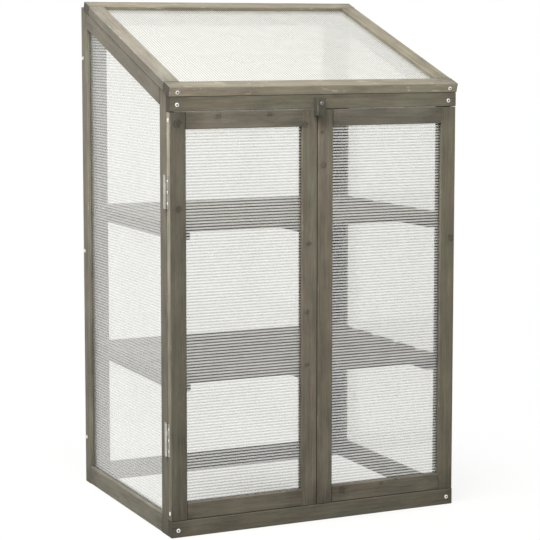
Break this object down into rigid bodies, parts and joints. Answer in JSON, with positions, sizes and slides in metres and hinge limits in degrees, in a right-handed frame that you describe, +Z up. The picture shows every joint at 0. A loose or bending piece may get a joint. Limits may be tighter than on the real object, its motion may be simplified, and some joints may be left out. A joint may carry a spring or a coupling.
{
  "type": "mini greenhouse",
  "caption": "Wooden mini greenhouse with a sloping hinged lid, double doors held by a turn button, clear twin-wall panes and slatted shelves.",
  "frame": {"origin": "bottom centre of the box round the whole object, on the ground", "axes": "+Z up, the doors face -Y, +X to the right of someone facing the doors"},
  "size_m": [0.7354, 0.6052, 1.1995],
  "materials": {
    "stained_timber": "matt grey-brown stain on planed softwood",
    "shelf_timber": "matt grey-brown stain on sawn softwood",
    "glazing_sheet": "clear twin-wall sheet",
    "zinc_steel": "bright zinc plated"
  },
  "bodies": {
    "carcass": {"left_front_stile": "stained_timber", "left_rear_stile": "stained_timber", "left_bottom_rail": "stained_timber", "left_sloped_rail": "stained_timber", "left_side_sheet": "glazing_sheet", "right_front_stile": "stained_timber", "right_rear_stile": "stained_timber", "right_bottom_rail": "stained_timber", "right_sloped_rail": "stained_timber", "right_side_sheet": "glazing_sheet", "back_left_stile": "stained_timber", "back_right_stile": "stained_timber", "back_bottom_rail": "stained_timber", "back_top_rail": "stained_timber", "back_sheet": "glazing_sheet", "front_plinth": "stained_timber", "front_lintel": "stained_timber", "lower_shelf": "shelf_timber", "upper_shelf": "shelf_timber", "lower_left_cleat": "shelf_timber", "lower_right_cleat": "shelf_timber", "upper_left_cleat": "shelf_timber", "upper_right_cleat": "shelf_timber", "left_lower_hinge_frame_leaf": "zinc_steel", "left_upper_hinge_frame_leaf": "zinc_steel", "right_lower_hinge_frame_leaf": "zinc_steel", "right_upper_hinge_frame_leaf": "zinc_steel", "lid_left_hinge_frame_leaf": "zinc_steel", "lid_right_hinge_frame_leaf": "zinc_steel", "button_screw": "zinc_steel", "stay_stud": "zinc_steel"},
    "left_door": {"left_door_hinge_stile": "stained_timber", "left_door_meeting_stile": "stained_timber", "left_door_bottom_rail": "stained_timber", "left_door_top_rail": "stained_timber", "left_door_sheet": "glazing_sheet", "left_lower_hinge_door_leaf": "zinc_steel", "left_upper_hinge_door_leaf": "zinc_steel"},
    "right_door": {"right_door_hinge_stile": "stained_timber", "right_door_meeting_stile": "stained_timber", "right_door_bottom_rail": "stained_timber", "right_door_top_rail": "stained_timber", "right_door_sheet": "glazing_sheet", "right_lower_hinge_door_leaf": "zinc_steel", "right_upper_hinge_door_leaf": "zinc_steel"},
    "lid": {"lid_front_rail": "stained_timber", "lid_rear_rail": "stained_timber", "lid_left_rail": "stained_timber", "lid_right_rail": "stained_timber", "lid_sheet": "glazing_sheet", "lid_left_hinge_lid_leaf": "zinc_steel", "lid_right_hinge_lid_leaf": "zinc_steel", "stay_screw": "zinc_steel"},
    "turn_button": {"turn_button": "stained_timber"},
    "lid_stay": {"lid_stay": "zinc_steel"}
  },
  "joints": [
    {"name": "left_door_hinge", "type": "hinge", "parent": "carcass", "child": "left_door", "pos_m": [-0.3645, -0.2587, 0], "axis": [0, 0, -1], "range_deg": [0, 170]},
    {"name": "right_door_hinge", "type": "hinge", "parent": "carcass", "child": "right_door", "pos_m": [0.3645, -0.2587, 0], "axis": [0, 0, 1], "range_deg": [0, 170]},
    {"name": "lid_hinge", "type": "hinge", "parent": "carcass", "child": "lid", "pos_m": [0, 0.28203, 1.1835], "axis": [-1, 0, 0], "range_deg": [0, 50]},
    {"name": "button_pivot", "type": "hinge", "parent": "carcass", "child": "turn_button", "pos_m": [0, -0.2903, 0.966], "axis": [0, 1, 0], "range_deg": [-90, 90]},
    {"name": "stay_pivot", "type": "hinge", "parent": "lid", "child": "lid_stay", "pos_m": [0.3643, 0.03271, 1.10828], "axis": [1, 0, 0], "range_deg": [0, 106]}
  ],
  "couplings": [
    {"joint": "stay_pivot", "follows": "lid_hinge", "ratio": 2.1172}
  ]
}
